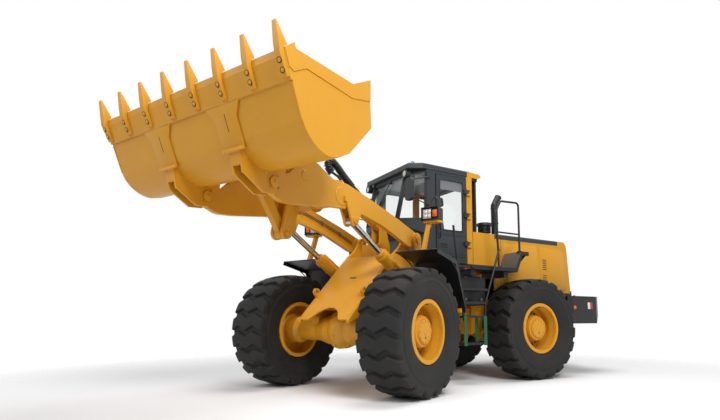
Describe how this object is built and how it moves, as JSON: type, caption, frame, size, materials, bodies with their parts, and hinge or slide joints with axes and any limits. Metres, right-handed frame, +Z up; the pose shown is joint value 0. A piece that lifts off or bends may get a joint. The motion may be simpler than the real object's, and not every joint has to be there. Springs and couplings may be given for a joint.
{
  "type": "wheel loader",
  "caption": "Articulated wheel loader with a toothed bucket on a Z-bar linkage, hinged frame, glazed cab, tilting hood and lugged tyres.",
  "frame": {"origin": "on the ground, under the middle of the machine's overall box", "axes": "+X along the rear frame towards the front, +Y to the machine's left, +Z up; the front frame is turned 24.2 degrees left"},
  "size_m": [8.1672, 4.5393, 3.4599],
  "materials": {
    "paint_yellow": "gloss",
    "engine_grey": "matte",
    "paint_black": "satin",
    "paint_charcoal": "satin",
    "clear_glass": "gloss",
    "trim_plastic": "matte",
    "seat_fabric": "woven",
    "strap_green": "satin",
    "lamp_lens": "gloss",
    "rod_chrome": "polished",
    "tyre_rubber": "matte"
  },
  "bodies": {
    "rear_frame": {"rear_frame": "paint_yellow", "rear_axle": "paint_yellow", "engine_block": "engine_grey", "counterweight": "paint_black", "cab_frame": "paint_charcoal", "cab_rear": "paint_yellow", "cab_roof": "paint_charcoal", "roof_visor": "paint_yellow", "cab_glass": "clear_glass", "seat_base": "trim_plastic", "steering_column": "trim_plastic", "seat_cushions": "seat_fabric", "walkways": "paint_black", "ladders": "paint_black", "step_straps": "strap_green", "handrails": "paint_black", "side_boxes": "paint_yellow", "mirrors": "trim_plastic", "work_lamps": "trim_plastic"},
    "front_frame": {"front_frame": "paint_yellow", "lifting_eyes": "paint_yellow", "front_axle": "paint_yellow", "front_mudguards": "paint_yellow", "headlamp_stalks": "paint_yellow", "headlamps": "lamp_lens"},
    "boom": {"boom": "paint_yellow"},
    "bucket": {"bucket_shell": "paint_yellow", "bucket_teeth": "paint_yellow"},
    "bellcrank": {"bellcrank": "paint_yellow"},
    "bucket_link": {"bucket_link": "paint_yellow"},
    "tilt_barrel": {"tilt_barrel": "paint_yellow"},
    "tilt_rod": {"tilt_rod": "rod_chrome"},
    "lift_barrels": {"lift_barrels": "paint_yellow"},
    "lift_rods": {"lift_rods": "rod_chrome"},
    "cab_door": {"cab_door": "paint_charcoal", "door_glass": "clear_glass"},
    "hood": {"hood": "paint_yellow", "hood_cap": "paint_charcoal", "radiator_grille": "paint_black", "exhaust_stack": "paint_black", "air_pre_cleaner": "trim_plastic", "rear_lamps": "lamp_lens"},
    "left_steer_barrel": {"left_steer_barrel": "paint_yellow"},
    "left_steer_rod": {"left_steer_rod": "rod_chrome"},
    "front_left_wheel": {"front_left_tyre": "tyre_rubber", "front_left_rim": "paint_yellow"},
    "rear_left_wheel": {"rear_left_tyre": "tyre_rubber", "rear_left_rim": "paint_yellow"},
    "right_steer_barrel": {"right_steer_barrel": "paint_yellow"},
    "right_steer_rod": {"right_steer_rod": "rod_chrome"},
    "front_right_wheel": {"front_right_tyre": "tyre_rubber", "front_right_rim": "paint_yellow"},
    "rear_right_wheel": {"rear_right_tyre": "tyre_rubber", "rear_right_rim": "paint_yellow"}
  },
  "joints": [
    {"name": "articulation", "type": "hinge", "parent": "rear_frame", "child": "front_frame", "pos_m": [-0.5036, -0.8639, 1.38], "axis": [0, 0, 1], "range_deg": [-59.2, 10.8]},
    {"name": "boom_lift", "type": "hinge", "parent": "front_frame", "child": "boom", "pos_m": [0.18961, -0.55236, 2.13], "axis": [0.4099, -0.9121, 0], "range_deg": [-45, 40]},
    {"name": "bucket_tilt", "type": "hinge", "parent": "boom", "child": "bucket", "pos_m": [2.74811, 0.59748, 2.36], "axis": [0.4099, -0.9121, 0], "range_deg": [-150, 5]},
    {"name": "bellcrank_pivot", "type": "hinge", "parent": "boom", "child": "bellcrank", "pos_m": [1.97737, 0.25109, 2.56], "axis": [0.4099, -0.9121, 0], "range_deg": [-2.13, 59.06]},
    {"name": "link_pivot", "type": "hinge", "parent": "bucket", "child": "bucket_link", "pos_m": [2.44255, 0.46015, 2.52], "axis": [0.4099, -0.9121, 0], "range_deg": [-3.34, 95.37]},
    {"name": "tilt_barrel_pivot", "type": "hinge", "parent": "front_frame", "child": "tilt_barrel", "pos_m": [0.29907, -0.50317, 2.38], "axis": [0.4099, -0.9121, 0], "range_deg": [-49.09, 43.65]},
    {"name": "tilt_rod_slide", "type": "slide", "parent": "tilt_barrel", "child": "tilt_rod", "axis": [0.846, 0.3802, 0.3739], "range_m": [-0.58855, 0.02155]},
    {"name": "lift_barrel_pivot", "type": "hinge", "parent": "front_frame", "child": "lift_barrels", "pos_m": [0.06191, -0.60975, 1.3], "axis": [0.4099, -0.9121, 0], "range_deg": [-33.54, 29.83]},
    {"name": "lift_rod_slide", "type": "slide", "parent": "lift_barrels", "child": "lift_rods", "axis": [0.7992, 0.3592, 0.4819], "range_m": [-0.52646, 0.46819]},
    {"name": "left_steer_pivot", "type": "hinge", "parent": "rear_frame", "child": "left_steer_barrel", "pos_m": [-1.2636, -0.3039, 1.05], "axis": [0, 0, 1], "range_deg": [-9.66, 1.9]},
    {"name": "left_steer_slide", "type": "slide", "parent": "left_steer_barrel", "child": "left_steer_rod", "axis": [0.992, -0.1259, 0], "range_m": [-0.08056, 0.43263]},
    {"name": "right_steer_pivot", "type": "hinge", "parent": "rear_frame", "child": "right_steer_barrel", "pos_m": [-1.2636, -1.4239, 1.05], "axis": [0, 0, 1], "range_deg": [-10.71, 2.09]},
    {"name": "right_steer_slide", "type": "slide", "parent": "right_steer_barrel", "child": "right_steer_rod", "axis": [0.9636, 0.2674, 0], "range_m": [-0.42169, 0.07856]},
    {"name": "cab_door_hinge", "type": "hinge", "parent": "rear_frame", "child": "cab_door", "pos_m": [-1.1036, -0.0319, 2.6], "axis": [0, 0, 1], "range_deg": [0, 90]},
    {"name": "hood_tilt", "type": "hinge", "parent": "rear_frame", "child": "hood", "pos_m": [-3.5136, -0.8639, 1.5], "axis": [0, 1, 0], "range_deg": [-55, 0]},
    {"name": "front_left_wheel_spin", "type": "hinge", "parent": "front_frame", "child": "front_left_wheel", "pos_m": [0.55048, 0.81581, 0.805], "axis": [-0.4099, 0.9121, 0], "continuous": true},
    {"name": "rear_left_wheel_spin", "type": "hinge", "parent": "rear_frame", "child": "rear_left_wheel", "pos_m": [-2.1536, 0.2361, 0.805], "axis": [0, 1, 0], "continuous": true},
    {"name": "front_right_wheel_spin", "type": "hinge", "parent": "front_frame", "child": "front_right_wheel", "pos_m": [1.45231, -1.19086, 0.805], "axis": [-0.4099, 0.9121, 0], "continuous": true},
    {"name": "rear_right_wheel_spin", "type": "hinge", "parent": "rear_frame", "child": "rear_right_wheel", "pos_m": [-2.1536, -1.9639, 0.805], "axis": [0, 1, 0], "continuous": true}
  ],
  "couplings": [
    {"joint": "bellcrank_pivot", "follows": "bucket_tilt", "ratio": -0.39266},
    {"joint": "link_pivot", "follows": "bucket_tilt", "ratio": -0.63468},
    {"joint": "tilt_rod_slide", "follows": "bucket_tilt", "m_per_rad": 0.22404},
    {"joint": "tilt_barrel_pivot", "follows": "boom_lift", "ratio": 1.0872},
    {"joint": "lift_barrel_pivot", "follows": "boom_lift", "ratio": 0.74172},
    {"joint": "lift_rod_slide", "follows": "boom_lift", "m_per_rad": 0.66777},
    {"joint": "left_steer_pivot", "follows": "articulation", "ratio": 0.16047},
    {"joint": "left_steer_slide", "follows": "articulation", "m_per_rad": -0.41678},
    {"joint": "right_steer_pivot", "follows": "articulation", "ratio": 0.17821},
    {"joint": "right_steer_slide", "follows": "articulation", "m_per_rad": 0.40619}
  ]
}
